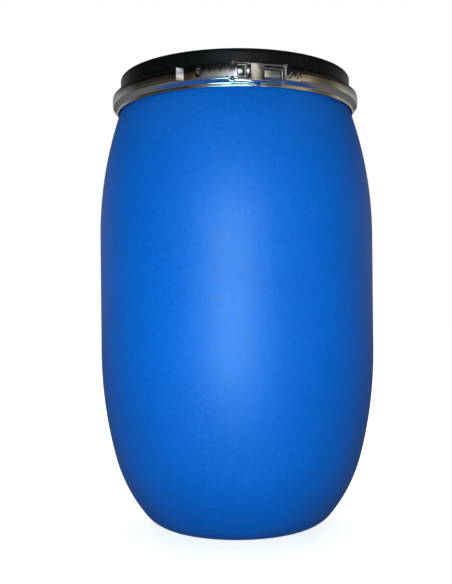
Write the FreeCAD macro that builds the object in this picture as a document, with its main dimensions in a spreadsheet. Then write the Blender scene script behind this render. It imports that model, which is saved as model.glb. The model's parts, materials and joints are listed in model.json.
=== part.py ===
import FreeCAD, Part
import math
import os

import Sketcher

# Open head plastic drum with a lid, a gasket and a lever closed clamp ring.
# Millimetres.  +Z is up, the origin is the centre of the foot, and the closure is at the front, on -Y.
# An angle along the rim is measured from -Y towards +X.

SIZES = {
    # drum body
    "body_radius": 245.0,
    "wall": 4.0,
    "barrel_low": 314.0,
    "barrel_high": 518.0,
    "lower_bulge": 740.0,
    "lower_bulge_turn": 14.5,
    "hip_radius": 275.0,
    "upper_bulge": 680.0,
    "foot_corner": 66.0,
    "foot_width": 15.0,
    "foot_ramp": 14.0,
    "base_rise": 8.0,
    "neck_radius": 207.5,
    "neck_rise": 1.5,
    "flange_radius": 215.5,
    "flange_low": 746.2,
    "flange_top": 762.0,
    "mouth_radius": 202.0,
    "mouth_low": 743.5,
    "edge_break": 1.5,
    # lid and gasket
    "lid_top": 800.0,
    "lid_radius": 206.5,
    "lid_wall": 3.5,
    "crown_width": 13.0,
    "crown_round": 3.0,
    "lid_slope_top": 773.8,
    "lid_slope_low": 768.0,
    "lid_rim_low": 764.0,
    "plug_low": 748.0,
    "panel_top": 782.0,
    "panel_round": 4.0,
    "pad_radius": 138.0,
    "pad_rise": 4.0,
    "rib_count": 12,
    "rib_width": 5.0,
    "rib_height": 2.5,
    "seat_inner": 204.0,
    "seat_outer": 213.0,
    "seat_top": 766.5,
    "gasket_gap": 0.2,
    "gasket_crown": 1.2,
    # clamp ring
    "ring_radius": 221.0,
    "ring_sheet": 1.2,
    "ring_low_radius": 210.5,
    "ring_low": 738.5,
    "ring_wall_low": 748.5,
    "ring_wall_high": 766.5,
    "ring_high": 774.5,
    "ring_high_radius": 208.5,
    "ring_gap": 1.2,
    "ring_gap_angle": 10.2,
    # closure
    "closure_level": 755.5,
    "plate": 1.8,
    "seam": 0.1,
    "bracket_height": 15.8,
    "pivot_angle": 4.0,
    "pivot_radius": 229.0,
    "pin_radius": 2.5,
    "pin_play": 0.05,
    "head_radius": 4.0,
    "head_height": 1.2,
    "ear_radius": 5.8,
    "link_pin_back": 19.5,
    "link_pin_out": 1.4,
    "lever_height": 20.0,
    "lever_bow": 200.0,
    "lever_back": 12.0,
    "lever_out": 237.0,
    "lever_tip_angle": -20.5,
    "lever_tip_radius": 230.0,
    "lever_flange": 224.8,
    "lever_flange_share": 0.72,
    "lever_flange_back": 4.8,
    "lever_back_step": 0.3,
    "lip_length": 9.0,
    "lip_flare": 6.0,
    "lip_skew": 0.72,
    "link_gap": 1.8,
    "link_end": 6.0,
    "link_waist": 4.5,
    "link_waist_inside": 3.0,
    "link_hook_end": 4.3,
    "link_web_start": 28.0,
    "link_web_end": 50.0,
    "link_web_out": 6.0,
    "hook_angle": 20.44,
    "hook_pin_radius": 2.5,
    "hook_play": 0.3,
    "hook_slack": 0.6,
    "hook_lip_angle": 7.0,
    "hook_end_angle": 8.0,
    "bracket_left": -9.8,
    "bracket_right": 2.6,
    "cheek_left": 12.0,
    "cheek_right": 9.0,
    "cheek_overlap": 1.08,
    # rivets and seal stud
    "rivet_radius": 2.0,
    "rivet_head": 3.4,
    "rivet_dome": 1.4,
    "rivet_foot": 1.0,
    "stud_angle": -14.2,
    "stud_radius": 2.5,
    "stud_flange": 4.5,
    "stud_top": 237.5,
    "stud_hole": 1.2,
    "stud_window": 4.6,
    "bracket_rivet_near": -0.2,
    "bracket_rivet_far": -4.0,
    "hook_rivet_near": 23.4,
    "hook_rivet_far": 26.6,
}
BRACKET_RIVETS = ("bracket_rivet_near", "bracket_rivet_far")
HOOK_RIVETS = ("hook_rivet_near", "hook_rivet_far")
NEARLY_ZERO = 1e-9


class Size:
    """A number that remembers the spreadsheet expression it comes from."""

    def __init__(self, value, text):
        self.value = value
        self.text = text

    def join(self, other, sign, value):
        return Size(value, f"({self.text} {sign} {other.text})")

    def __add__(self, other):
        other = as_size(other)
        return self.join(other, "+", self.value + other.value)

    def __sub__(self, other):
        other = as_size(other)
        return self.join(other, "-", self.value - other.value)

    def __mul__(self, other):
        other = as_size(other)
        return self.join(other, "*", self.value * other.value)

    def __truediv__(self, other):
        other = as_size(other)
        return self.join(other, "/", self.value / other.value)

    def __neg__(self):
        return Size(-self.value, f"(0 - {self.text})")


def as_size(number):
    if isinstance(number, Size):
        return number
    return Size(float(number), repr(float(number)))


def size(name):
    return Size(float(SIZES[name]), "Sizes." + name)


def root(a):
    return Size(math.sqrt(a.value), f"sqrt({a.text})")


def sine(a):
    return Size(math.sin(math.radians(a.value)), f"sin({a.text})")


def cosine(a):
    return Size(math.cos(math.radians(a.value)), f"cos({a.text})")


def polar(radius, angle):
    """The point at an angle along the rim, seen from above."""
    return as_size(radius) * sine(as_size(angle)), -(as_size(radius) * cosine(as_size(angle)))


def dome_radius(half_width, rise):
    """The radius of a shallow dome."""
    return (half_width * half_width + rise * rise) / (rise * 2)


def leg(hypotenuse, side):
    """The other short side of a right-angled triangle."""
    return root(hypotenuse * hypotenuse - side * side)


def to(x, y):
    return as_size(x), as_size(y), None, 0


def arc(x, y, radius, turn):
    """Arrive by an arc: turn is +1 for counter-clockwise and -1 for clockwise."""
    return as_size(x), as_size(y), as_size(radius), turn


doc = FreeCAD.newDocument("open_head_drum")
sheet = doc.addObject("Spreadsheet::Sheet", "Sizes")
for row, (alias, number) in enumerate(SIZES.items(), start=1):
    sheet.set(f"A{row}", alias)
    sheet.set(f"B{row}", str(number))
    sheet.setAlias(f"B{row}", alias)
doc.recompute()

UP = FreeCAD.Vector(0, 0, 1)
subparts = []


def keep(thing, label):
    """Names a finished sub-part, which becomes one file."""
    thing.Label = label
    subparts.append(thing)
    return thing


def turn_about_z(thing, angle):
    thing.Placement = FreeCAD.Placement(FreeCAD.Vector(), FreeCAD.Rotation(UP, angle.value))
    thing.setExpression("Placement.Rotation.Angle", angle.text)


def new_body(name):
    return doc.addObject("PartDesign::Body", name)


def new_sketch(body, name, plane, level=None):
    sketch = body.newObject("Sketcher::SketchObject", name)
    planes = [f for f in body.Origin.OriginFeatures if f.Role == plane]
    sketch.AttachmentSupport = [(planes[0], "")]
    sketch.MapMode = "FlatFace"
    if level is not None:
        sketch.AttachmentOffset = FreeCAD.Placement(UP * level.value, FreeCAD.Rotation())
        sketch.setExpression("AttachmentOffset.Base.z", level.text)
    return sketch


def bind(sketch, constraint, expression):
    index = sketch.addConstraint(constraint)
    sketch.setExpression(f"Constraints[{index}]", expression.text)


def arc_between(start, end, radius, turn):
    """The minor arc from start to end, as sketch geometry."""
    chord = end - start
    middle = (start + end) * 0.5
    left = FreeCAD.Vector(-chord.y, chord.x, 0).normalize()
    rise = math.sqrt(max(radius * radius - chord.Length ** 2 / 4, 0.0))
    centre = middle + left * (rise * turn)
    circle = Part.Circle(centre, UP, radius)
    first, last = (start, end) if turn > 0 else (end, start)
    angles = [math.atan2(p.y - centre.y, p.x - centre.x) for p in (first, last)]
    return Part.ArcOfCircle(circle, angles[0], angles[1])


def draw(sketch, points):
    """A closed outline: every corner is tied to the sheet, and so is every arc's radius."""
    corners = [FreeCAD.Vector(x.value, y.value, 0) for x, y, _, _ in points]
    starts = []
    for index, (x, y, radius, turn) in enumerate(points):
        start, end = corners[index - 1], corners[index]
        if radius is None:
            edge = sketch.addGeometry(Part.LineSegment(start, end), False)
        else:
            edge = sketch.addGeometry(arc_between(start, end, radius.value, turn), False)
        begins, ends = (2, 1) if turn < 0 else (1, 2)
        starts.append((edge, begins, ends))
    for index, (edge, begins, ends) in enumerate(starts):
        following, following_begins, _ = starts[(index + 1) % len(starts)]
        sketch.addConstraint(Sketcher.Constraint("Coincident", edge, ends, following, following_begins))
    for (edge, _, ends), (x, y, radius, _) in zip(starts, points):
        if abs(x.value) < NEARLY_ZERO:
            sketch.addConstraint(Sketcher.Constraint("PointOnObject", edge, ends, -2))
        else:
            bind(sketch, Sketcher.Constraint("DistanceX", edge, ends, x.value), x)
        if abs(y.value) < NEARLY_ZERO:
            sketch.addConstraint(Sketcher.Constraint("PointOnObject", edge, ends, -1))
        else:
            bind(sketch, Sketcher.Constraint("DistanceY", edge, ends, y.value), y)
        if radius is not None:
            bind(sketch, Sketcher.Constraint("Radius", edge, radius.value), radius)


def circle(sketch, x, y, radius):
    middle = FreeCAD.Vector(x.value, y.value, 0)
    ring = sketch.addGeometry(Part.Circle(middle, UP, radius.value), False)
    if abs(x.value) < NEARLY_ZERO:
        sketch.addConstraint(Sketcher.Constraint("PointOnObject", ring, 3, -2))
    else:
        bind(sketch, Sketcher.Constraint("DistanceX", ring, 3, x.value), x)
    bind(sketch, Sketcher.Constraint("DistanceY", ring, 3, y.value), y)
    bind(sketch, Sketcher.Constraint("Radius", ring, radius.value), radius)


def revolve(body, sketch, angle=None):
    turned = body.newObject("PartDesign::Revolution", body.Name + "_turned")
    turned.Profile = sketch
    turned.ReferenceAxis = (sketch, ["V_Axis"])
    turned.Angle = 360.0 if angle is None else angle.value
    if angle is not None:
        turned.Midplane = True
        turned.setExpression("Angle", angle.text)
    return turned


def extrude(body, kind, sketch, height, both_ways=True):
    """A Pad or a Pocket about the sketch's own plane."""
    solid = body.newObject("PartDesign::" + kind, sketch.Name + "_" + kind.lower())
    solid.Profile = sketch
    solid.Length = height.value
    solid.setExpression("Length", height.text)
    solid.Midplane = both_ways
    return solid


def bore(body, name, level, x, y, radius, height):
    sketch = new_sketch(body, name, "XY_Plane", level)
    circle(sketch, x, y, radius)
    extrude(body, "Pocket", sketch, height)


def fuse(name, pieces):
    joined = doc.addObject("Part::MultiFuse", name)
    joined.Shapes = pieces
    return joined


def lay_radially(thing, angle_name):
    """Turns a piece made along +Z from the drum's axis so that it points outwards through the rim."""
    outwards = FreeCAD.Rotation(FreeCAD.Vector(1, 0, 0), 90)
    along_rim = FreeCAD.Rotation(UP, SIZES[angle_name])
    thing.Placement = FreeCAD.Placement(UP * SIZES["closure_level"], along_rim * outwards)
    thing.setExpression("Placement.Base.z", size("closure_level").text)


def drill(thing, name, angle_names):
    """Rivet holes through a piece, square to the rim."""
    tools = []
    for number, angle_name in enumerate(angle_names):
        tool = doc.addObject("Part::Cylinder", f"{name}_hole_{number}")
        tool.setExpression("Radius", (size("rivet_radius") + size("pin_play")).text)
        tool.setExpression("Height", size("stud_top").text)
        lay_radially(tool, angle_name)
        tools.append(tool)
    cut = doc.addObject("Part::Cut", name)
    cut.Base = thing
    cut.Tool = fuse(name + "_holes", tools)
    return cut


# ---------------------------------------------------------------- drum body

def make_drum_body():
    body = new_body("drum_body")
    sketch = new_sketch(body, "drum_section", "XZ_Plane")
    radius, wall = size("body_radius"), size("wall")
    low, high = size("barrel_low"), size("barrel_high")
    bulge, shoulder = size("lower_bulge"), size("upper_bulge")
    turn = size("lower_bulge_turn")
    hip, corner = size("hip_radius"), size("foot_corner")
    bulge_x, shoulder_x = radius - bulge, radius - shoulder
    hip_x = bulge_x + (bulge - hip) * cosine(turn)
    hip_z = low - (bulge - hip) * sine(turn)
    foot = hip_x + leg(hip - corner, hip_z - corner)
    share_x = (foot - hip_x) / (hip - corner)
    share_z = (corner - hip_z) / (hip - corner)
    foot_inside = foot - size("foot_width")
    ramp_top = foot_inside - size("foot_ramp")
    rise = size("base_rise")
    neck, neck_inside = size("neck_radius"), size("neck_radius") - wall
    neck_low = high + leg(shoulder, neck - shoulder_x)
    inner_shoulder_top = high + leg(shoulder - wall, neck_inside - shoulder_x)
    flange, mouth = size("flange_radius"), size("mouth_radius")
    top, chamfer = size("flange_top"), size("edge_break")
    draw(sketch, [
        to(0, rise),
        to(ramp_top, rise),
        to(foot_inside, 0),
        to(foot, 0),
        arc(hip_x + share_x * hip, hip_z + share_z * hip, corner, 1),
        arc(bulge_x + bulge * cosine(turn), low - bulge * sine(turn), hip, 1),
        arc(radius, low, bulge, 1),
        to(radius, high),
        arc(neck, neck_low, shoulder, 1),
        to(neck, neck_low + size("neck_rise")),
        to(flange, size("flange_low")),
        to(flange, top - chamfer),
        to(flange - chamfer, top),
        to(mouth + chamfer, top),
        to(mouth, top - chamfer),
        to(mouth, size("mouth_low")),
        to(neck_inside, inner_shoulder_top),
        arc(radius - wall, high, shoulder - wall, -1),
        to(radius - wall, low),
        arc(bulge_x + (bulge - wall) * cosine(turn), low - (bulge - wall) * sine(turn), bulge - wall, -1),
        arc(hip_x + share_x * (hip - wall), hip_z + share_z * (hip - wall), hip - wall, -1),
        arc(foot, wall, corner - wall, -1),
        to(foot_inside, wall),
        to(ramp_top, rise + wall),
        to(0, rise + wall),
    ])
    revolve(body, sketch)
    return keep(body, "drum_body")


# ---------------------------------------------------------------- lid and gasket

def make_lid():
    body = new_body("lid")
    sketch = new_sketch(body, "lid_section", "XZ_Plane")
    outer, wall = size("lid_radius"), size("lid_wall")
    inner = outer - size("crown_width")
    top, rounding = size("lid_top"), size("crown_round")
    panel, bend = size("panel_top"), size("panel_round")
    pad, step = size("pad_radius"), size("pad_rise")
    rim, rim_low = size("flange_radius"), size("lid_rim_low")
    seat_in, seat_out, seat_top = size("seat_inner"), size("seat_outer"), size("seat_top")
    plug = size("plug_low")
    draw(sketch, [
        to(0, panel + step),
        to(pad, panel + step),
        to(pad + step, panel),
        to(inner - bend, panel),
        arc(inner, panel + bend, bend, 1),
        to(inner, top - rounding),
        arc(inner + rounding, top, rounding, -1),
        to(outer - rounding, top),
        arc(outer, top - rounding, rounding, -1),
        to(outer, size("lid_slope_top")),
        to(rim, size("lid_slope_low")),
        to(rim, rim_low),
        to(seat_out, rim_low),
        to(seat_out, seat_top),
        to(seat_in, seat_top),
        to(seat_in, rim_low),
        to(outer - wall, rim_low),
        to(outer - wall, top - wall),
        to(inner + wall, top - wall),
        to(inner + wall, plug + wall),
        to(inner + wall / 2, plug),
        to(inner, plug),
        to(inner, panel - wall),
        to(pad + step, panel - wall),
        to(pad, panel + step - wall),
        to(0, panel + step - wall),
    ])
    revolve(body, sketch)
    rib = new_sketch(body, "rib_plan", "XY_Plane", panel - wall / 2)
    half = size("rib_width") / 2
    draw(rib, [
        to(pad + step / 2, -half),
        to(inner - bend / 2, -half),
        to(inner - bend / 2, half),
        to(pad + step / 2, half),
    ])
    rib_pad = extrude(body, "Pad", rib, wall / 2 + size("rib_height"), both_ways=False)
    ribs = body.newObject("PartDesign::PolarPattern", "ribs")
    ribs.Originals = [rib_pad]
    ribs.Axis = (sketch, ["V_Axis"])
    ribs.Angle = 360.0
    ribs.Occurrences = int(SIZES["rib_count"])
    ribs.setExpression("Occurrences", size("rib_count").text)
    body.Tip = ribs
    return keep(body, "lid")


def make_lid_gasket():
    body = new_body("lid_gasket")
    sketch = new_sketch(body, "gasket_section", "XZ_Plane")
    gap = size("gasket_gap")
    inner, outer = size("seat_inner") + gap, size("seat_outer") - gap
    low, high = size("flange_top") + gap, size("seat_top") - gap / 2
    crown = size("gasket_crown")
    draw(sketch, [
        to(inner, high),
        to(inner, low + crown),
        arc(outer, low + crown, dome_radius((outer - inner) / 2, crown), 1),
        to(outer, high),
    ])
    revolve(body, sketch)
    return keep(body, "lid_gasket")


# ---------------------------------------------------------------- clamp ring

def make_clamp_ring():
    body = new_body("ring_band")
    sketch = new_sketch(body, "ring_section", "XZ_Plane")
    outer, metal = size("ring_radius"), size("ring_sheet")
    lips = []
    for end, side in (("low", 1), ("high", -1)):
        lip, lip_z, wall_z = size(f"ring_{end}_radius"), size(f"ring_{end}"), size(f"ring_wall_{end}")
        rise = (wall_z - lip_z) * side
        slant = root((outer - lip) * (outer - lip) + rise * rise)
        sin_a, cos_a = rise / slant, (outer - lip) / slant
        inner_corner = wall_z + metal * (as_size(1) - sin_a) / cos_a * side
        lips.append({
            "lip": (lip, lip_z),
            "bend": (outer, wall_z),
            "inner_bend": (outer - metal, inner_corner),
            "inner_lip": (lip - metal * sin_a, lip_z + metal * cos_a * side),
        })
    low, high = lips
    draw(sketch, [
        to(*low["lip"]),
        to(*low["bend"]),
        to(*high["bend"]),
        to(*high["lip"]),
        to(*high["inner_lip"]),
        to(*high["inner_bend"]),
        to(*low["inner_bend"]),
        to(*low["inner_lip"]),
    ])
    revolve(body, sketch, as_size(360) - size("ring_gap"))
    turn_about_z(body, as_size(90) + size("ring_gap_angle"))
    return keep(drill(body, "clamp_ring", [*BRACKET_RIVETS, "stud_angle", *HOOK_RIVETS]), "clamp_ring")


# ---------------------------------------------------------------- closure: fixed pieces on the band

def make_lever_bracket():
    """A plate on the band with two cheeks that carry the lever's pivot pin."""
    body = new_body("lever_bracket_form")
    level, height, metal = size("closure_level"), size("bracket_height"), size("plate")
    under = size("ring_radius") + size("seam")
    over = under + metal
    left, right = size("bracket_left"), size("bracket_right")
    plan = new_sketch(body, "bracket_plate_plan", "XY_Plane", level)
    draw(plan, [
        to(*polar(under, right)),
        arc(*polar(under, left), under, -1),
        to(*polar(over, left)),
        arc(*polar(over, right), over, 1),
    ])
    extrude(body, "Pad", plan, height)
    cheeks = new_sketch(body, "bracket_cheek_plan", "XY_Plane", level)
    ear, pivot = size("ear_radius"), -size("pivot_radius")
    root_y = -(over - size("cheek_overlap"))
    draw(cheeks, [
        to(-size("cheek_left"), root_y),
        to(-ear, pivot),
        arc(0, pivot - ear, ear, 1),
        arc(ear, pivot, ear, 1),
        to(size("cheek_right"), root_y),
    ])
    extrude(body, "Pad", cheeks, height)
    between = new_sketch(body, "bracket_between_plan", "XY_Plane", level)
    reach = ear * 2 + size("cheek_left")
    outside = pivot - ear * 2
    draw(between, [
        to(reach, outside),
        to(-reach, outside),
        to(*polar(over, left)),
        arc(*polar(over, right), over, 1),
    ])
    extrude(body, "Pocket", between, height - metal * 2)
    running = size("pin_radius") + size("pin_play")
    bore(body, "bracket_pivot_hole", level, as_size(0), pivot, running, height * 2)
    turn_about_z(body, size("pivot_angle"))
    return keep(drill(body, "lever_bracket", BRACKET_RIVETS), "lever_bracket")


def make_hook_bracket():
    """A plate on the band's other end, curled outwards into a hook for the link's end pin."""
    body = new_body("hook_bracket_form")
    level, height, metal = size("closure_level"), size("bracket_height"), size("plate")
    under = size("ring_radius") + size("seam")
    over = under + metal
    inner = size("hook_pin_radius") + size("hook_play")
    outer = inner + metal
    seat = -(over + inner)
    end, lip = size("hook_end_angle"), size("hook_lip_angle")
    plan = new_sketch(body, "hook_plan", "XY_Plane", level)
    draw(plan, [
        to(*polar(under, end)),
        arc(0, -under, under, -1),
        arc(-outer * cosine(lip), seat + outer * sine(lip), outer, 1),
        to(-inner * cosine(lip), seat + inner * sine(lip)),
        arc(0, -over, inner, -1),
        arc(*polar(over, end), over, 1),
    ])
    extrude(body, "Pad", plan, height)
    turn_about_z(body, size("hook_angle"))
    return keep(drill(body, "hook_bracket", HOOK_RIVETS), "hook_bracket")


def make_rivet(name, angle_name):
    """A rivet through the band and the plate on it, with a domed head outside."""
    body = new_body(name)
    sketch = new_sketch(body, name + "_section", "XZ_Plane")
    shank, head, dome = size("rivet_radius"), size("rivet_head"), size("rivet_dome")
    foot_top = size("ring_radius") - size("ring_sheet") - size("seam")
    plate_top = size("ring_radius") + size("seam") + size("plate")
    draw(sketch, [
        to(0, foot_top - size("rivet_foot")),
        to(head, foot_top - size("rivet_foot")),
        to(head, foot_top),
        to(shank, foot_top),
        to(shank, plate_top),
        to(head, plate_top),
        arc(0, plate_top + dome, dome_radius(head, dome), 1),
    ])
    revolve(body, sketch)
    lay_radially(body, angle_name)
    return body


def make_rivets(name, angle_names):
    rivets = [make_rivet(f"{name}_{number}", angle) for number, angle in enumerate(angle_names)]
    group = doc.addObject("Part::Compound", name)
    group.Links = rivets
    return keep(group, name)


def make_seal_stud():
    """A riveted stud that stands through the closed lever, cross-drilled for a seal or a padlock."""
    body = new_body("seal_stud_form")
    sketch = new_sketch(body, "stud_section", "XZ_Plane")
    shank, head, stem = size("rivet_radius"), size("rivet_head"), size("stud_radius")
    foot_top = size("ring_radius") - size("ring_sheet") - size("seam")
    seat = size("ring_radius") + size("seam")
    top, flange = size("stud_top"), size("stud_flange")
    draw(sketch, [
        to(0, foot_top - size("rivet_foot")),
        to(head, foot_top - size("rivet_foot")),
        to(head, foot_top),
        to(shank, foot_top),
        to(shank, seat),
        to(flange, seat),
        to(flange, seat + size("rivet_foot")),
        to(stem, seat + size("rivet_foot")),
        to(stem, top - stem / 2),
        arc(0, top, dome_radius(stem, stem / 2), 1),
    ])
    revolve(body, sketch)
    lay_radially(body, "stud_angle")
    hole = doc.addObject("Part::Cylinder", "stud_cross_hole")
    hole.setExpression("Radius", size("stud_hole").text)
    hole.setExpression("Height", (stem * 4).text)
    x, y = polar(size("stud_top") - stem, size("stud_angle"))
    hole.setExpression("Placement.Base.x", x.text)
    hole.setExpression("Placement.Base.y", y.text)
    hole.setExpression("Placement.Base.z", (size("closure_level") - stem * 2).text)
    cut = doc.addObject("Part::Cut", "seal_stud")
    cut.Base = body
    cut.Tool = hole
    return keep(cut, "seal_stud")


# ---------------------------------------------------------------- closure: lever, link and pins

def lever_line(offset):
    """The lever's outline at a depth under its outer face, from the pivot end to the tip."""
    start = polar(size("lever_out") - offset, as_size(0))
    start = (-size("lever_back"), start[1] + size("lever_back_step"))
    end = polar(size("lever_tip_radius") - offset, size("lever_tip_angle") - size("pivot_angle"))
    return start, end


def make_lever():
    """A pressed channel: a bowed web, a flange above and below, ears round the pins and a flared tip."""
    body = new_body("lever_form")
    level, height, metal = size("closure_level"), size("lever_height"), size("plate")
    ear, pivot = size("ear_radius"), -size("pivot_radius")
    bow = size("lever_bow")
    outer_start, outer_end = lever_line(as_size(0))
    inner_start, inner_end = lever_line(metal)
    tip_angle = size("lever_tip_angle") - size("pivot_angle")
    side = new_sketch(body, "lever_side_plan", "XY_Plane", level)
    flange_end = polar(size("lever_flange"), tip_angle * size("lever_flange_share"))
    draw(side, [
        to(*outer_start),
        arc(*outer_end, bow, -1),
        to(*inner_end),
        to(*flange_end),
        arc(*polar(size("lever_flange"), -size("lever_flange_back")), size("lever_flange"), 1),
        to(0, pivot + ear),
        arc(ear, pivot, ear, -1),
        arc(0, pivot - ear, ear, -1),
    ])
    extrude(body, "Pad", side, height)
    hollow = new_sketch(body, "lever_hollow_plan", "XY_Plane", level)
    draw(hollow, [
        to(inner_start[0], inner_start[1]),
        arc(*inner_end, bow - metal, -1),
        to(inner_end[0], inner_end[1] + ear * 4),
        to(ear * 2, pivot + ear * 3),
        to(ear * 2, pivot - ear * 2),
        to(inner_start[0], pivot - ear * 2),
    ])
    extrude(body, "Pocket", hollow, height - metal * 2)
    tip = new_sketch(body, "lever_tip_plan", "XY_Plane", level)
    lip, flare = size("lip_length"), size("lip_flare")
    away = polar(size("lever_tip_radius") + flare, tip_angle)
    lip_x = away[0] - lip
    lip_y = away[1] + lip / 3
    draw(tip, [
        to(*outer_end),
        to(lip_x, lip_y),
        to(lip_x - size("lip_skew"), lip_y + metal),
        to(*inner_end),
    ])
    extrude(body, "Pad", tip, height)
    pin = size("pin_radius")
    bore(body, "lever_pivot_hole", level, as_size(0), pivot, pin, height * 2)
    link_x, link_y = -size("link_pin_back"), pivot - size("link_pin_out")
    bore(body, "lever_link_hole", level, link_x, link_y, pin, height * 2)
    turn_about_z(body, size("pivot_angle"))
    window = doc.addObject("Part::Cylinder", "lever_window")
    window.setExpression("Radius", size("stud_window").text)
    window.setExpression("Height", (size("stud_top") * 2).text)
    lay_radially(window, "stud_angle")
    cut = doc.addObject("Part::Cut", "lever_cut")
    cut.Base = body
    cut.Tool = window
    return keep(cut, "lever")


def make_pin(name, frame_angle, x, y, radius, half_span):
    """A headed pin standing across the closure."""
    body = new_body(name)
    level, head = size("closure_level"), size("head_radius")
    stages = [("shank", radius, half_span), ("heads", head, half_span + size("head_height"))]
    for suffix, wide, tall in stages:
        sketch = new_sketch(body, f"{name}_{suffix}_plan", "XY_Plane", level)
        circle(sketch, x, y, wide)
        extrude(body, "Pad", sketch, tall * 2)
    waist = new_sketch(body, f"{name}_waist_plan", "XY_Plane", level)
    circle(waist, x, y, head * 2)
    circle(waist, x, y, radius)
    extrude(body, "Pocket", waist, half_span * 2)
    turn_about_z(body, frame_angle)
    return keep(body, name)


def link_frame():
    """The link pin and the hook pin, seen in the pivot's own frame."""
    back = (-size("link_pin_back"), -size("pivot_radius") - size("link_pin_out"))
    seat = size("ring_radius") + size("seam") + size("plate") + size("hook_play") + size("hook_pin_radius")
    front = polar(seat, size("hook_angle") - size("pivot_angle"))
    slack = size("hook_slack")
    return back, (front[0] + slack, front[1])


def make_toggle_link():
    """Two side plates from the link pin to the hook pin, joined by a web in the middle."""
    body = new_body("toggle_link")
    level, metal = size("closure_level"), size("plate")
    inside = size("lever_height") + size("link_gap") * 2
    height = inside + metal * 2
    end = size("link_end")
    (x0, y0), (x1, y1) = link_frame()
    length = root((x1 - x0) * (x1 - x0) + (y1 - y0) * (y1 - y0))
    ax, ay = (x1 - x0) / length, (y1 - y0) / length

    def at(along, across):
        """A point along the link and across it, outwards."""
        return x0 + ax * along + ay * across, y0 + ay * along - ax * across

    plan = new_sketch(body, "link_plan", "XY_Plane", level)
    waist, waist_inside = size("link_waist"), size("link_waist_inside")
    hook_end = size("link_hook_end")
    draw(plan, [
        to(*at(as_size(0), end)),
        arc(*at(-end, as_size(0)), end, -1),
        arc(*at(as_size(0), -end), end, -1),
        to(*at(end * 2, -waist_inside)),
        to(*at(length - end * 2, -waist_inside)),
        to(*at(length, -hook_end)),
        arc(*at(length + hook_end, as_size(0)), hook_end, -1),
        arc(*at(length, hook_end), hook_end, -1),
        to(*at(size("link_web_end"), size("link_web_out"))),
        to(*at(size("link_web_start"), size("link_web_out"))),
        to(*at(end * 2, waist)),
    ])
    extrude(body, "Pad", plan, height)
    inner_plan = new_sketch(body, "link_inside_plan", "XY_Plane", level)
    web_out, reach = size("link_web_out"), end * 4
    start, finish = size("link_web_start"), size("link_web_end")
    draw(inner_plan, [
        to(*at(-reach, -reach)),
        to(*at(length + reach, -reach)),
        to(*at(length + reach, reach)),
        to(*at(finish, reach)),
        to(*at(finish, web_out - metal)),
        to(*at(start, web_out - metal)),
        to(*at(start, reach)),
        to(*at(-reach, reach)),
    ])
    extrude(body, "Pocket", inner_plan, inside)
    play = size("pin_play")
    bore(body, "link_back_hole", level, x0, y0, size("pin_radius") + play, height * 2)
    bore(body, "link_front_hole", level, x1, y1, size("hook_pin_radius"), height * 2)
    turn_about_z(body, size("pivot_angle"))
    return keep(body, "toggle_link")


def make_pins():
    frame = size("pivot_angle")
    lever_half = size("lever_height") / 2
    link_half = lever_half + size("link_gap") + size("plate")
    (x0, y0), (x1, y1) = link_frame()
    make_pin("lever_pivot_pin", frame, as_size(0), -size("pivot_radius"), size("pin_radius"), lever_half)
    make_pin("link_pin", frame, x0, y0, size("pin_radius"), link_half)
    make_pin("hook_pin", frame, x1, y1, size("hook_pin_radius"), link_half)


def check(thing):
    broken = [word for word in ("Invalid", "Error") if word in thing.State]
    if broken:
        raise RuntimeError(f"{thing.Name} is {broken}")


def main():
    make_drum_body()
    make_lid()
    make_lid_gasket()
    make_clamp_ring()
    make_lever_bracket()
    make_rivets("lever_bracket_rivets", BRACKET_RIVETS)
    make_seal_stud()
    make_lever()
    make_toggle_link()
    make_pins()
    make_hook_bracket()
    make_rivets("hook_bracket_rivets", HOOK_RIVETS)
    doc.recompute()
    for thing in doc.Objects:
        check(thing)
    for part in subparts:
        if part.Shape.isNull() or not part.Shape.isValid():
            raise RuntimeError(f"{part.Label} has no valid shape")
    os.makedirs("parts", exist_ok=True)
    for part in subparts:
        part.Shape.exportStep(f"parts/{part.Label}.step")
        print(part.Label, len(part.Shape.Solids), round(part.Shape.Volume), part.Shape.BoundBox)


main()
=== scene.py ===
import json
import math

import bmesh
import bpy
from mathutils import Matrix, Vector

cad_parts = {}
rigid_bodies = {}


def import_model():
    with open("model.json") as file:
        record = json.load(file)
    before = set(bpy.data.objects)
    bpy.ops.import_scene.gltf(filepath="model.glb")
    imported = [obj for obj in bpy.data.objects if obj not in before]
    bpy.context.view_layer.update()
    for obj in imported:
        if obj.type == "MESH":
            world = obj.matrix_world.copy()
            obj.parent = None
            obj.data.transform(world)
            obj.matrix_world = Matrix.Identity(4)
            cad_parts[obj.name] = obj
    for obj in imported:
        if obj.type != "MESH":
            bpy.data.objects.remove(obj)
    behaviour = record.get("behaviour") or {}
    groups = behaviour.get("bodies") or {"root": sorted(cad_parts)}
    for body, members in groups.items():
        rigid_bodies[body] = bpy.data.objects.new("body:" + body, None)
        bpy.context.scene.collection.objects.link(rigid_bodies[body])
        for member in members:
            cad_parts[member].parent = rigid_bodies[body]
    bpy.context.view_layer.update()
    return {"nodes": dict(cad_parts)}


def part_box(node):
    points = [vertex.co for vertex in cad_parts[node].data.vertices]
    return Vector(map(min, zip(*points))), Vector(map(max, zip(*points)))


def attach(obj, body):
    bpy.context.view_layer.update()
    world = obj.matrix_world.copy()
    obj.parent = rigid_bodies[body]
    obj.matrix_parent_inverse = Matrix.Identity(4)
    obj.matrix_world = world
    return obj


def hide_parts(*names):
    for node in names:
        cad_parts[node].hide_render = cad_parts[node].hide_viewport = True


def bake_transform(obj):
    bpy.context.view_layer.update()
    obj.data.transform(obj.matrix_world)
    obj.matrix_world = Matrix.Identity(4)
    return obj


# The looks of the open head drum.  Outlines are in millimetres and meshes in metres.
# +Z is up, the closure is at the front on -Y, and a rim angle runs from -Y towards +X.

MM = 0.001

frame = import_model()
scene = bpy.context.scene
scene.view_settings.view_transform = "Standard"

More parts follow.
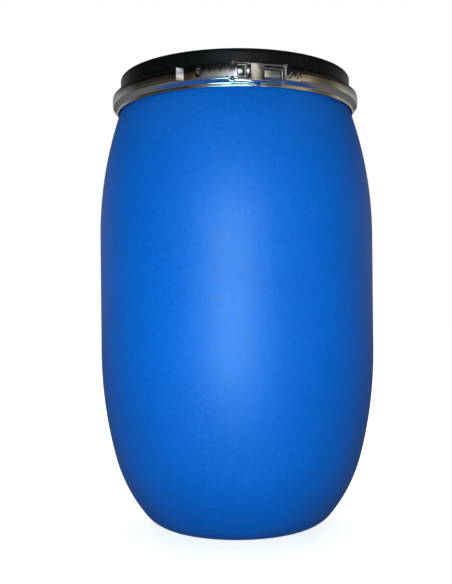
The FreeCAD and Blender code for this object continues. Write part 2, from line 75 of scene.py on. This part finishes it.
drum_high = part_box("drum_body")[1]
lid_low, lid_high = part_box("lid")
ring_low, ring_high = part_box("clamp_ring")

BODY_RADIUS = drum_high.x / MM
RIM_TOP = drum_high.z / MM
LID_TOP = lid_high.z / MM
LID_LOW = lid_low.z / MM
RING_RADIUS = ring_high.x / MM
RING_LOW = ring_low.z / MM
RING_HIGH = ring_high.z / MM


# ---------------------------------------------------------------- outlines

def circle_points(centre, radius, first, last, count):
    """Points on an arc, with angles in degrees from +x towards +z."""
    points = []
    for step in range(count + 1):
        angle = math.radians(first + (last - first) * step / count)
        points.append((centre[0] + radius * math.cos(angle), centre[1] + radius * math.sin(angle)))
    return points


def rounded(corners, steps=5, closed=True):
    """An outline whose corners (x, z, radius) are filleted."""
    points = []
    for index, (x, z, radius) in enumerate(corners):
        at_end = not closed and index in (0, len(corners) - 1)
        if radius <= 0 or at_end:
            points.append((x, z))
            continue
        corner = Vector((x, z))
        before = Vector(corners[index - 1][:2]) - corner
        after = Vector(corners[(index + 1) % len(corners)][:2]) - corner
        half = before.angle(after) / 2
        reach = min(radius / math.tan(half), before.length * 0.49, after.length * 0.49)
        size = reach * math.tan(half)
        inwards = (before.normalized() + after.normalized()).normalized()
        centre = corner + inwards * (size / math.sin(half))
        start = corner + before.normalized() * reach - centre
        end = corner + after.normalized() * reach - centre
        sweep = start.angle_signed(end)
        for step in range(steps + 1):
            spoke = start.copy()
            spoke.rotate(Matrix.Rotation(-sweep * step / steps, 2))
            points.append(tuple(centre + spoke))
    return points


# ---------------------------------------------------------------- meshes

def new_object(name, mesh, material):
    thing = bpy.data.objects.new(name, mesh)
    scene.collection.objects.link(thing)
    mesh.materials.append(material)
    return thing


def smooth(mesh, angle=35):
    """Smooth shading with creases at the sharp edges."""
    mesh.polygons.foreach_set("use_smooth", [True] * len(mesh.polygons))
    mesh.set_sharp_from_angle(angle=math.radians(angle))


def lathe(name, outline, angles, material, shift=None):
    """Sweeps an outline (radius, height) in millimetres round the drum's axis.

    A list of angles that ends where it started closes the sweep, and the outline is always closed.
    shift(radius, height, angle) gives a change of radius and of height."""
    closed = abs(angles[-1] - angles[0] - 360) < 1e-6
    stations = angles[:-1] if closed else angles
    builder = bmesh.new()
    rings = []
    for angle in stations:
        across, along = math.sin(math.radians(angle)), -math.cos(math.radians(angle))
        ring = []
        for radius, height in outline:
            if shift:
                more_radius, more_height = shift(radius, height, angle)
                radius, height = radius + more_radius, height + more_height
            ring.append((radius * across * MM, radius * along * MM, height * MM))
        rings.append(ring)
    on_axis = [abs(radius) < 1e-6 for radius, _ in outline]
    poles = [builder.verts.new((0, 0, height * MM)) if axis else None
             for axis, (_, height) in zip(on_axis, outline)]
    made = [[pole or builder.verts.new(point) for pole, point in zip(poles, ring)] for ring in rings]
    pairs = list(zip(made, made[1:] + made[:1])) if closed else list(zip(made, made[1:]))
    count = len(outline)
    for first, second in pairs:
        for index in range(count):
            following = (index + 1) % count
            if on_axis[index] and on_axis[following]:
                continue
            corners = []
            for vertex in (first[index], second[index], second[following], first[following]):
                if vertex not in corners:
                    corners.append(vertex)
            builder.faces.new(corners)
    if not closed:
        builder.faces.new(made[0])
        builder.faces.new(made[-1][::-1])
    bmesh.ops.recalc_face_normals(builder, faces=builder.faces)
    mesh = bpy.data.meshes.new(name)
    builder.to_mesh(mesh)
    builder.free()
    smooth(mesh)
    return new_object(name, mesh, material)


def even_angles(count, start=0.0, sweep=360.0):
    return [start + sweep * step / count for step in range(count + 1)]


# ---------------------------------------------------------------- materials

class Graph:
    """A node tree with a few short ways to add to it."""

    def __init__(self, tree):
        self.nodes = tree.nodes
        self.links = tree.links

    def plug(self, socket, value):
        """Links a socket into another, or sets its value."""
        if isinstance(value, bpy.types.NodeSocket):
            self.links.new(value, socket)
        elif isinstance(value, tuple):
            socket.default_value = (*value, 1.0)
        else:
            socket.default_value = value

    def ramp(self, value, stops):
        node = self.nodes.new("ShaderNodeValToRGB")
        elements = node.color_ramp.elements
        while len(elements) < len(stops):
            elements.new(0.5)
        for element, (position, colour) in zip(elements, stops):
            element.position = position
            element.color = (*colour, 1.0)
        self.links.new(value, node.inputs["Fac"])
        return node.outputs["Color"]

    def spread(self, value, low, high, from_low=0.3, from_high=0.7):
        node = self.nodes.new("ShaderNodeMapRange")
        node.inputs["From Min"].default_value = from_low
        node.inputs["From Max"].default_value = from_high
        node.inputs["To Min"].default_value = low
        node.inputs["To Max"].default_value = high
        self.links.new(value, node.inputs["Value"])
        return node.outputs["Result"]

    def mix(self, factor, first, second, blend="MIX"):
        node = self.nodes.new("ShaderNodeMix")
        node.data_type = "RGBA"
        node.blend_type = blend
        sockets = {socket.name: socket for socket in node.inputs if socket.enabled}
        self.plug(sockets["Factor"], factor)
        self.plug(sockets["A"], first)
        self.plug(sockets["B"], second)
        return next(socket for socket in node.outputs if socket.enabled)

    def calculate(self, operation, *values):
        node = self.nodes.new("ShaderNodeMath")
        node.operation = operation
        for socket, value in zip(node.inputs, values):
            self.plug(socket, value)
        return node.outputs["Value"]


class Finish(Graph):
    """A material that takes its detail from the object's own coordinates."""

    def __init__(self, name, **sockets):
        self.material = bpy.data.materials.new(name)
        self.material.use_nodes = True
        super().__init__(self.material.node_tree)
        self.shader = self.nodes["Principled BSDF"]
        for socket, value in sockets.items():
            self.shader.inputs[socket.replace("_", " ")].default_value = value
        self.place = self.nodes.new("ShaderNodeTexCoord").outputs["Object"]
        self.height = None

    def stretched(self, x, y, z):
        mapping = self.nodes.new("ShaderNodeMapping")
        mapping.inputs["Scale"].default_value = (x, y, z)
        self.links.new(self.place, mapping.inputs["Vector"])
        return mapping.outputs["Vector"]

    def noise(self, scale, detail=4.0, roughness=0.55, place=None):
        node = self.nodes.new("ShaderNodeTexNoise")
        node.inputs["Scale"].default_value = scale
        node.inputs["Detail"].default_value = detail
        node.inputs["Roughness"].default_value = roughness
        self.links.new(place or self.place, node.inputs["Vector"])
        return node.outputs["Fac"]

    def cells(self, scale):
        node = self.nodes.new("ShaderNodeTexVoronoi")
        node.inputs["Scale"].default_value = scale
        self.links.new(self.place, node.inputs["Vector"])
        return node.outputs["Color"]

    def from_middle(self):
        """The distance from the object's origin."""
        node = self.nodes.new("ShaderNodeVectorMath")
        node.operation = "LENGTH"
        self.links.new(self.place, node.inputs[0])
        return node.outputs["Value"]

    def colour(self, value):
        self.links.new(value, self.shader.inputs["Base Color"])

    def rough(self, value):
        self.links.new(value, self.shader.inputs["Roughness"])

    def bump(self, value, distance, strength=1.0):
        """Adds a relief; the distance is in metres."""
        node = self.nodes.new("ShaderNodeBump")
        node.inputs["Distance"].default_value = distance
        node.inputs["Strength"].default_value = strength
        self.links.new(value, node.inputs["Height"])
        if self.height:
            self.links.new(self.height, node.inputs["Normal"])
        self.height = node.outputs["Normal"]
        self.links.new(self.height, self.shader.inputs["Normal"])


def blue_plastic():
    """Blow-moulded polyethylene: satin, faintly mottled, with soft vertical flow lines."""
    finish = Finish("blue_hdpe", Roughness=0.42, IOR=1.5, Specular_IOR_Level=0.27)
    mottle = finish.noise(130.0, detail=5.0)
    cloud = finish.noise(6.0, detail=2.0)
    tone = finish.ramp(mottle, [(0.3, (0.0, 0.073, 0.35)), (0.7, (0.0, 0.102, 0.447))])
    broad = finish.ramp(cloud, [(0.3, (0.0, 0.065, 0.322)), (0.7, (0.0, 0.106, 0.456))])
    finish.colour(finish.mix(0.25, tone, broad))
    finish.rough(finish.spread(mottle, 0.42, 0.52))
    flow = finish.noise(1.0, detail=3.0, place=finish.stretched(120.0, 120.0, 2.5))
    finish.bump(flow, 0.0004, 0.25)
    finish.bump(finish.noise(900.0, detail=2.0), 0.00008, 0.5)
    finish.bump(finish.noise(160.0, detail=4.0), 0.0006, 0.35)
    finish.bump(finish.noise(40.0, detail=3.0), 0.0006, 0.25)
    return finish.material


def black_plastic():
    finish = Finish("black_lid", Roughness=0.24, IOR=1.5, Specular_IOR_Level=0.25)
    grain = finish.noise(180.0, detail=4.0)
    finish.colour(finish.ramp(grain, [(0.3, (0.003, 0.003, 0.003)), (0.7, (0.006, 0.005, 0.005))]))
    finish.rough(finish.spread(finish.noise(20.0), 0.18, 0.30))
    finish.bump(finish.noise(1400.0, detail=2.0), 0.00005, 0.5)
    finish.bump(finish.noise(28.0, detail=2.0), 0.0004, 0.2)
    return finish.material


def foam_rubber():
    finish = Finish("foam_rubber", Roughness=0.9, IOR=1.45)
    pores = finish.noise(2600.0, detail=3.0, roughness=0.7)
    finish.colour(finish.ramp(pores, [(0.35, (0.035, 0.035, 0.036)), (0.65, (0.085, 0.083, 0.08))]))
    finish.bump(pores, 0.0003, 0.7)
    return finish.material


def zinc(name, tint, low, high, spangle):
    """Zinc on steel: bright, with a fine grain, faint scratches along the band and cloudy patches."""
    finish = Finish(name, Metallic=1.0)
    patches = finish.noise(60.0, detail=5.0)
    flakes = finish.cells(spangle)
    base = finish.ramp(patches, [(0.3, tuple(c * 0.86 for c in tint)), (0.7, tint)])
    finish.colour(finish.mix(0.08, base, flakes, "SOFT_LIGHT"))
    finish.rough(finish.spread(finish.noise(35.0, detail=6.0), low, high))
    scratches = finish.noise(1.0, detail=6.0, place=finish.stretched(40.0, 40.0, 2600.0))
    finish.bump(scratches, 0.00002, 0.35)
    finish.bump(finish.noise(500.0, detail=2.0), 0.00003, 0.3)
    return finish.material


BLUE = blue_plastic()
BLACK = black_plastic()
FOAM = foam_rubber()
BAND = zinc("band_zinc", (0.66, 0.655, 0.63), 0.08, 0.18, 300.0)
CLOSURE = zinc("closure_zinc", (0.76, 0.75, 0.73), 0.08, 0.18, 500.0)
PIN = zinc("pin_zinc", (0.70, 0.70, 0.69), 0.18, 0.32, 900.0)


# ---------------------------------------------------------------- drum body

def barrel_outline():
    """The body's closed section: from the base's centre outwards, up the outside and down the inside."""
    radius, wall = BODY_RADIUS, 4.0
    low, high = 314.0, 518.0
    bulge, hip, corner, shoulder = 740.0, 275.0, 66.0, 680.0
    turn = 14.5
    neck, flange, flange_low = 207.5, 215.5, 746.2
    mouth, mouth_low = 202.0, 743.5
    rise, foot_flat, foot_slope = 8.0, 15, 29
    bulge_x, shoulder_x = radius - bulge, radius - shoulder
    hip_x = bulge_x + (bulge - hip) * math.cos(math.radians(turn))
    hip_z = low - (bulge - hip) * math.sin(math.radians(turn))
    foot = hip_x + math.sqrt((hip - corner) ** 2 - (hip_z - corner) ** 2)
    tangent = math.degrees(math.atan2(corner - hip_z, foot - hip_x))
    outer_top = math.degrees(math.acos((neck - shoulder_x) / shoulder))
    inner_top = math.degrees(math.acos((neck - wall - shoulder_x) / (shoulder - wall)))
    neck_z = high + shoulder * math.sin(math.radians(outer_top))
    points = [(0.0, rise)]
    points += rounded([
        (0, rise, 0),
        (foot - foot_slope, rise, 6),
        (foot - foot_flat, 0, 5),
        (foot, 0, 0),
    ], closed=False)[1:-1]
    points += circle_points((foot, corner), corner, -90, tangent, 14)
    points += circle_points((hip_x, hip_z), hip, tangent, -turn, 24)[1:]
    points += circle_points((bulge_x, low), bulge, -turn, 0, 24)[1:]
    points += circle_points((shoulder_x, high), shoulder, 0, outer_top, 40)
    points += rounded([
        (neck, neck_z, 0),
        (neck, neck_z + 1.5, 1.0),
        (flange, flange_low, 1.5),
        (flange, RIM_TOP, 1.8),
        (mouth, RIM_TOP, 1.8),
        (mouth, mouth_low, 1.5),
        (neck - wall, high + (shoulder - wall) * math.sin(math.radians(inner_top)), 0),
    ], closed=False)[1:]
    points += circle_points((shoulder_x, high), shoulder - wall, inner_top, 0, 30)[1:]
    points += circle_points((bulge_x, low), bulge - wall, 0, -turn, 20)
    points += circle_points((hip_x, hip_z), hip - wall, -turn, tangent, 20)[1:]
    points += circle_points((foot, corner), corner - wall, tangent, -90, 10)[1:]
    points += rounded([
        (foot, wall, 0),
        (foot - foot_flat, wall, 5),
        (foot - foot_slope, rise + wall, 6),
        (0, rise + wall, 0),
    ], closed=False)[1:]
    return points


def seam_angles(count, seams, offsets):
    """Even angles, with extra ones close to each seam."""
    angles = set(round(a, 6) for a in even_angles(count))
    for seam in seams:
        angles = {a for a in angles if abs(a - seam) > max(offsets)} | {seam}
        angles |= {round(seam + side * offset, 6) for offset in offsets for side in (-1, 1)}
    return sorted(angles)


def make_drum_body():
    seams = (90.0, 270.0)
    ridge, width = 0.25, 0.22
    base_radius, ridge_low, ridge_high = 130, 2, 744

    def parting_line(radius, height, angle):
        near = min(abs(angle - seam) for seam in seams)
        outside = radius > base_radius and ridge_low < height < ridge_high
        lift = ridge * math.exp(-((near / width) ** 2)) if outside else 0.0
        return lift, 0.0

    angles = seam_angles(240, seams, (0.1, 0.2, 0.35, 0.6))
    body = lathe("drum_shell", barrel_outline(), angles, BLUE, parting_line)
    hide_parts("drum_body")
    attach(body, "drum")


# ---------------------------------------------------------------- lid

def make_lid():
    outer, inner, wall = 206.5, 193.5, 3.5
    top, panel, pad, step = LID_TOP, 782.0, 138.0, 4.0
    rim, rim_low, slope_top, slope_low = 215.5, 764.0, 773.8, 768.0
    groove_outer, groove_inner, groove_top = 213.0, 204.0, 766.5
    ribs, rib_half, rib_high = 12, 2.5, 2.5
    longest = 6
    outline = rounded([
        (0, panel + step, 0),
        (pad, panel + step, 2.0),
        (pad + step, panel, 2.0),
        (inner, panel, 4.0),
        (inner, top, 3.0),
        (outer, top, 3.0),
        (outer, slope_top, 2.0),
        (rim, slope_low, 1.5),
        (rim, rim_low, 1.0),
        (groove_outer, rim_low, 0.6),
        (groove_outer, groove_top, 0.6),
        (groove_inner, groove_top, 0.6),
        (groove_inner, rim_low, 0.6),
        (outer - wall, rim_low, 1.0),
        (outer - wall, top - wall, 2.0),
        (inner + wall, top - wall, 2.0),
        (inner + wall, LID_LOW + wall, 1.5),
        (inner + wall / 2, LID_LOW, 0.8),
        (inner, LID_LOW, 0.8),
        (inner, panel - wall, 1.5),
        (pad + step, panel - wall, 2.0),
        (pad, panel + step - wall, 2.0),
        (0, panel + step - wall, 0),
    ])
    dense = []
    for (x0, z0), (x1, z1) in zip(outline, outline[1:] + outline[:1]):
        parts = max(1, round(math.hypot(x1 - x0, z1 - z0) / longest)) if x0 > pad or x1 > pad else 1
        dense += [(x0 + (x1 - x0) * k / parts, z0 + (z1 - z0) * k / parts) for k in range(parts)]

    def rib(radius, height, angle):
        if not (pad + step * 0.6 < radius < inner and height > panel - 0.5 and height < panel + step):
            return 0.0, 0.0
        pitch = 360.0 / ribs
        off = abs((angle + pitch / 2) % pitch - pitch / 2)
        across = math.radians(off) * radius
        side = min(1.0, max(0.0, rib_half + 0.5 - across))
        return 0.0, max(0.0, panel + rib_high - height) * side * side * (3 - 2 * side)

    offsets = (0.4, 0.65, 0.75, 0.85, 0.95, 1.05, 1.2)
    pitches = [360.0 / ribs * k for k in range(ribs + 1)]
    angles = [a for a in seam_angles(240, pitches, offsets) if 0 <= a <= 360]
    lid = lathe("lid_moulding", dense, angles, BLACK, rib)
    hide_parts("lid")
    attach(lid, "lid")


# ---------------------------------------------------------------- clamp ring

def make_ring():
    """One band as two halves: they meet at the back, where the end joints turn."""
    sheet, hem, hem_top, lip = 1.2, 212.5, 743.0, 208.5
    hem_low = RING_LOW - 1.0
    wall_low, wall_high, crown, crown_edge = 748.5, 766.5, 0.5, 6
    gap_centre, gap, back = 10.2, 1.2, 192.5

    def inner_corner(radius, corner_z, lip_z):
        """The corner inside the bend between the wall and a sloping leg, and the leg's slope."""
        slope = math.atan2(abs(corner_z - lip_z), RING_RADIUS - crown - radius)
        side = 1 if lip_z < corner_z else -1
        rise = sheet * (1 - math.sin(slope)) / math.cos(slope)
        return (RING_RADIUS - crown - sheet, corner_z + side * rise), slope

    low_inner, low_slope = inner_corner(hem, wall_low, hem_top)
    high_inner, high_slope = inner_corner(lip, wall_high, RING_HIGH)
    hem_inner = hem_top + sheet / math.cos(low_slope) - sheet * math.tan(low_slope)
    high_lip = (lip - sheet * math.sin(high_slope), RING_HIGH - sheet * math.cos(high_slope))
    section = rounded([
        (hem, hem_low, 0.5),
        (hem, hem_top, 1.2),
        (RING_RADIUS - crown, wall_low, 4.0),
        (RING_RADIUS, wall_low + crown_edge, 16.0),
        (RING_RADIUS, wall_high - crown_edge, 16.0),
        (RING_RADIUS - crown, wall_high, 4.0),
        (lip, RING_HIGH, 0.4),
        (*high_lip, 0.4),
        (*high_inner, 2.8),
        (*low_inner, 2.8),
        (hem - sheet, hem_inner, 0.5),
        (hem - sheet, hem_low, 0.5),
    ], steps=6)
    for name, body, sweep in (
        ("clamp_band_left", "end_a", gap_centre - gap / 2 + 360 - back),
        ("clamp_band_right", "end_b", gap_centre + gap / 2 - back),
    ):
        half = lathe(name, section, even_angles(200, back, sweep), BAND)
        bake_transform(half)
        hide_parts("clamp_ring")


# ---------------------------------------------------------------- closure

def soften(node, material, width):
    """A pressed or turned steel piece of the frame gets rounded edges and its finish."""
    thing = frame["nodes"][node]
    weld = thing.modifiers.new("weld", "WELD")
    weld.merge_threshold = 0.00001
    flat = thing.modifiers.new("flat", "DECIMATE")
    flat.decimate_type = "DISSOLVE"
    flat.angle_limit = math.radians(1.0)
    edge = thing.modifiers.new("edge", "BEVEL")
    edge.width = width * MM
    edge.segments = 3
    edge.limit_method = "ANGLE"
    edge.angle_limit = math.radians(28)
    edge.harden_normals = True
    for polygon in thing.data.polygons:
        polygon.use_smooth = True
    thing.data.materials.clear()
    thing.data.materials.append(material)


def make_closure():
    pressed = ("lever", "toggle_link", "lever_bracket", "hook_bracket")
    turned = (
        "lever_pivot_pin", "link_pin", "hook_pin", "seal_stud",
        "lever_bracket_rivets", "hook_bracket_rivets",
    )
    for node in pressed:
        soften(node, CLOSURE, 0.45)
    for node in turned:
        soften(node, PIN, 0.3)
    gasket = frame["nodes"]["lid_gasket"]
    gasket.data.materials.clear()
    gasket.data.materials.append(FOAM)


# ---------------------------------------------------------------- studio

def make_floor():
    """A floor that glows white to the camera, with a soft contact shadow that the lamps partly cast and
    that is partly painted as weaker glow near the drum; reflections see a faint painted glow, and
    everything else sees it as dim.
    """
    mesh = bpy.data.meshes.new("floor")
    half = 30.0
    corners = [(-half, -half, 0), (half, -half, 0), (half, half, 0), (-half, half, 0)]
    mesh.from_pydata(corners, [], [(0, 1, 2, 3)])
    finish = Finish("studio_floor", Roughness=0.9)
    path = finish.nodes.new("ShaderNodeLightPath").outputs
    finish.colour(finish.mix(path["Is Camera Ray"], (0.13, 0.13, 0.14), (0.50, 0.50, 0.50)))
    # Camera rays get emission that drops from 1.0 far out to 0.80 near the drum, which is a painted
    # contact shadow; glossy rays get a faint painted glow of 0.08.
    near, far, near_glow, far_glow, mirrored_glow = 0.2, 0.7, 0.80, 1.0, 0.08
    painted_shadow_glow = finish.spread(finish.from_middle(), near_glow, far_glow, near, far)
    seen = finish.calculate("MULTIPLY", path["Is Camera Ray"], painted_shadow_glow)
    glow = finish.calculate("MULTIPLY_ADD", path["Is Glossy Ray"], mirrored_glow, seen)
    finish.plug(finish.shader.inputs["Emission Color"], (1.0, 1.0, 1.0))
    finish.plug(finish.shader.inputs["Emission Strength"], glow)
    floor = new_object("floor", mesh, finish.material)


def area_light(name, place, aim, size, power, colour=(1.0, 1.0, 1.0)):
    lamp = bpy.data.lights.new(name, "AREA")
    lamp.shape = "RECTANGLE"
    lamp.size, lamp.size_y = size
    lamp.energy = power
    lamp.color = colour
    thing = bpy.data.objects.new(name, lamp)
    thing.location = place
    thing.rotation_euler = (Vector(aim) - Vector(place)).to_track_quat("-Z", "Y").to_euler()
    scene.collection.objects.link(thing)
    return thing


def make_world():
    """White to the camera, a soft dome as a light, and in reflections a dim room with two windows."""
    nothing, full = (0.0, 0.0, 0.0), (1.0, 1.0, 1.0)
    world = bpy.data.worlds.new("studio")
    scene.world = world
    world.use_nodes = True
    graph = Graph(world.node_tree)
    direction = graph.nodes.new("ShaderNodeSeparateXYZ")
    graph.plug(direction.inputs["Vector"], graph.nodes.new("ShaderNodeTexCoord").outputs["Generated"])

    def along(axis, stops):
        """Colours by direction: 0 is towards the axis's negative end, and 1 towards its positive end."""
        return graph.ramp(graph.spread(direction.outputs[axis], 0.0, 1.0, -1.0, 1.0), stops)

    room = along("X", [
        (0.06, (0.07, 0.06, 0.05)),
        (0.14, (0.06, 0.025, 0.022)),
        (0.24, (0.17, 0.16, 0.145)),
        (0.31, (0.26, 0.27, 0.25)),
        (0.37, (0.46, 0.49, 0.47)),
        (0.46, (0.75, 0.82, 0.88)),
        (0.50, (0.45, 0.48, 0.52)),
        (0.80, (0.20, 0.21, 0.20)),
        (0.90, (0.42, 0.36, 0.25)),
        (0.95, (0.62, 0.51, 0.33)),
        (0.985, (0.16, 0.13, 0.09)),
    ])
    depth = along("Y", [(0.58, nothing), (0.86, full)])
    around = graph.mix(depth, room, (0.45, 0.45, 0.44))
    ceiling = along("Z", [(0.59, full), (0.68, (0.06, 0.06, 0.06))])
    window_across = along("X", [
        (0.46, nothing),
        (0.49, (1.1, 1.2, 1.45)),
        (0.62, (0.9, 0.95, 1.15)),
        (0.63, nothing),
        (0.66, nothing),
        (0.67, (0.75, 0.70, 0.56)),
        (0.73, (0.75, 0.70, 0.56)),
        (0.75, nothing),
    ])
    window_up = along("Z", [(0.48, nothing), (0.54, full), (0.65, full), (0.69, nothing)])
    window = graph.mix(1.0, window_across, window_up, "MULTIPLY")
    window = graph.mix(depth, window, nothing)
    mirrored = graph.mix(1.0, graph.mix(1.0, around, ceiling, "MULTIPLY"), window, "ADD")
    dome = along("Z", [(0.5, (0.03, 0.03, 0.03)), (1.0, (0.07, 0.07, 0.07))])
    path = graph.nodes.new("ShaderNodeLightPath").outputs
    unseen = graph.mix(path["Is Glossy Ray"], dome, mirrored)
    seen = graph.mix(path["Is Camera Ray"], unseen, full)
    graph.plug(graph.nodes["Background"].inputs["Color"], seen)


def make_lights():
    """The front window leaves out the closure, which mirrors the room's own windows."""
    window = area_light(
        "front_window", (-0.12, -1.7, 0.41), (0.0, 0.0, 0.38), (1.1, 0.8), 6.3, colour=(0.45, 0.88, 0.97),
    )
    window.data.spread = math.radians(54)
    lit = bpy.data.collections.new("lit_by_front_window")
    for thing in scene.objects:
        if thing.type == "MESH" and thing.active_material not in (CLOSURE, PIN):
            lit.objects.link(thing)
    window.light_linking.receiver_collection = lit
    front = area_light("front_soft", (-0.2, -3.0, 0.8), (0.0, 0.0, 0.4), (1.0, 1.0), 9.0)
    top = area_light("floor_soft", (0.0, 1.6, 3.4), (0.0, 1.6, 0.0), (6.0, 6.0), 150.0)
    for lamp in (front, top):
        lamp.visible_glossy = False


def make_camera():
    camera = bpy.data.cameras.new("camera")
    thing = bpy.data.objects.new("camera", camera)
    scene.collection.objects.link(thing)
    distance, height, roll = 1.54, 0.372, 0.55
    camera.lens = 52.0
    camera.shift_x, camera.shift_y = -0.0191, 0.0449
    thing.location = (0.0, -distance, height)
    thing.rotation_euler = (math.radians(90), math.radians(roll), 0.0)
    scene.camera = thing


make_floor()
make_drum_body()
make_lid()
make_ring()
make_closure()
make_world()
make_lights()
make_camera()
